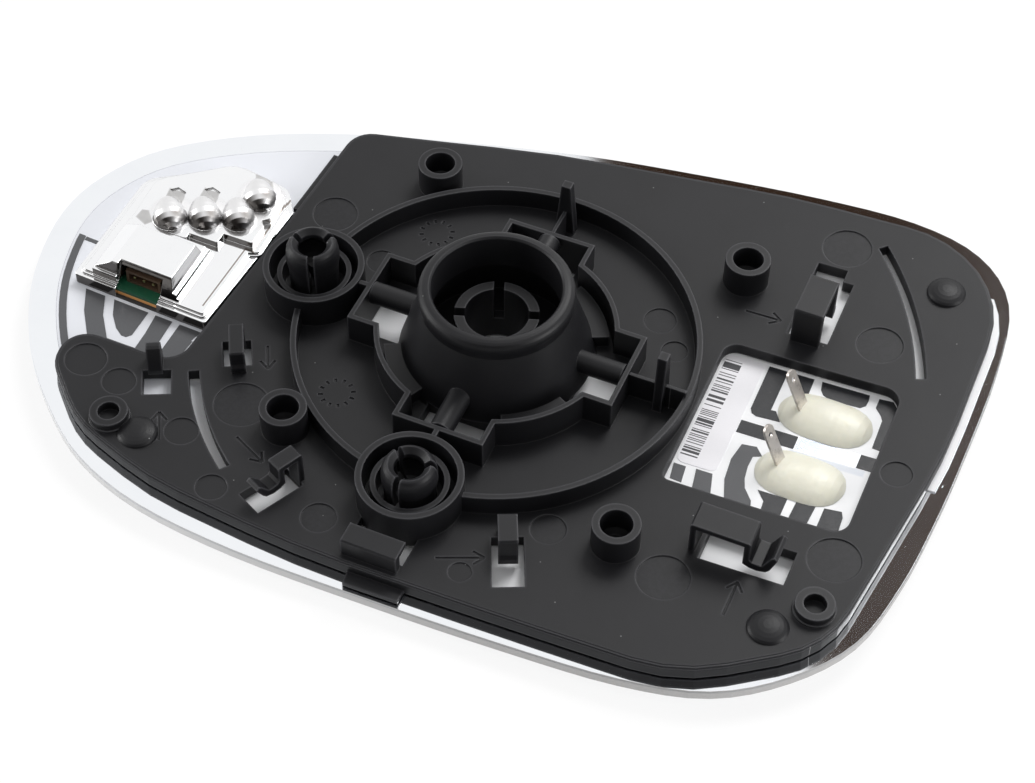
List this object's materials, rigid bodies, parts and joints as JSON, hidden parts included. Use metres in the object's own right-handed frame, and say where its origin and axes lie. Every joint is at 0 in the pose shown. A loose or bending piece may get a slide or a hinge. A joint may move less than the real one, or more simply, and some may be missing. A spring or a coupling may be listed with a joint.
{
  "type": "car door mirror glass",
  "caption": "Convex heated mirror glass on a moulded backing plate with a ball socket, jackscrew sockets and a turn signal module.",
  "frame": {"origin": "pivot axis, where it meets the back surface of the backing plate", "axes": "+Z out of the back of the plate along the pivot axis, the mirror face looks along -Z; +X away from the turn signal end, +Y up the car"},
  "size_m": [0.1908, 0.1304, 0.0246],
  "materials": {
    "mirror_glass": "polished",
    "heater_foil": "glossy white foil",
    "heater_track": "glossy print",
    "foam_pad": "foam",
    "backing_plate": "fine moulded grain",
    "data_label": "smooth",
    "terminal": "tinned",
    "terminal_rivets": "plain",
    "sealant": "smooth cured sealant",
    "signal_housing": "metallised plastic",
    "signal_board": "solder mask",
    "signal_leds": "clear resin",
    "signal_resistors": "plain",
    "signal_connector": "plain",
    "connector_pins": "plain",
    "signal_lens": "frosted",
    "signal_gasket": "matte"
  },
  "bodies": {
    "root": {"mirror_glass": "mirror_glass", "heater_foil": "heater_foil", "heater_track": "heater_track", "foam_pad": "foam_pad", "backing_plate": "backing_plate", "data_label": "data_label", "terminal_upper": "terminal", "terminal_lower": "terminal", "terminal_rivets": "terminal_rivets", "sealant_upper": "sealant", "sealant_lower": "sealant", "signal_housing": "signal_housing", "signal_board": "signal_board", "signal_leds": "signal_leds", "signal_resistors": "signal_resistors", "signal_connector": "signal_connector", "connector_pins": "connector_pins", "signal_lens": "signal_lens", "signal_gasket": "signal_gasket"}
  },
  "joints": []
}
